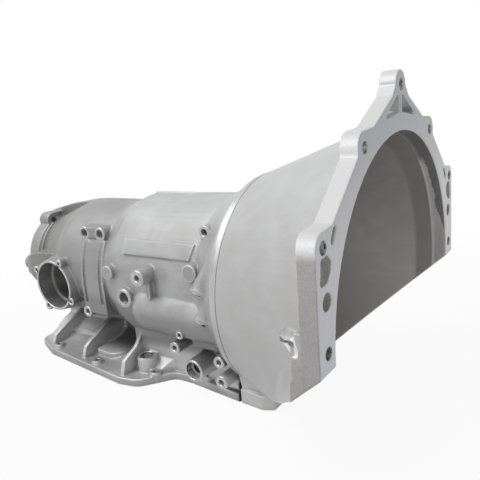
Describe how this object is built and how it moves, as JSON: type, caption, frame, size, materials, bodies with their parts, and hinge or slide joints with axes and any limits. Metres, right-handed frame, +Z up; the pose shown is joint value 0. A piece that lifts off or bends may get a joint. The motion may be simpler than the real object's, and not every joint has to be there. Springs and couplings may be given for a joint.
{
  "type": "gearbox housing",
  "caption": "Cast aluminium housing for an automatic gearbox: a ribbed case with an open pan rail and a flared bell that bolts to the engine.",
  "frame": {"origin": "on the gear axis, in the joint plane between the case and the bell", "axes": "+X forward along the gear axis to the engine, +Y to the side away from the governor bore, +Z up"},
  "size_m": [0.593, 0.421, 0.3747],
  "materials": {
    "cast_case": "satin cast, machined at the faces and bores",
    "cast_bell": "satin cast, machined at the flange and ring",
    "steel_bolts": "zinc plated",
    "steel_dowels": "ground",
    "bushing": "bored bearing bronze"
  },
  "bodies": {
    "root": {"main_case": "cast_case", "bell_housing": "cast_bell", "joint_bolt_01": "steel_bolts", "joint_bolt_02": "steel_bolts", "joint_bolt_03": "steel_bolts", "joint_bolt_04": "steel_bolts", "joint_bolt_05": "steel_bolts", "joint_bolt_06": "steel_bolts", "joint_bolt_07": "steel_bolts", "joint_bolt_08": "steel_bolts", "joint_bolt_09": "steel_bolts", "joint_dowel_1": "steel_dowels", "joint_dowel_2": "steel_dowels", "rear_bushing": "bushing"}
  },
  "joints": []
}
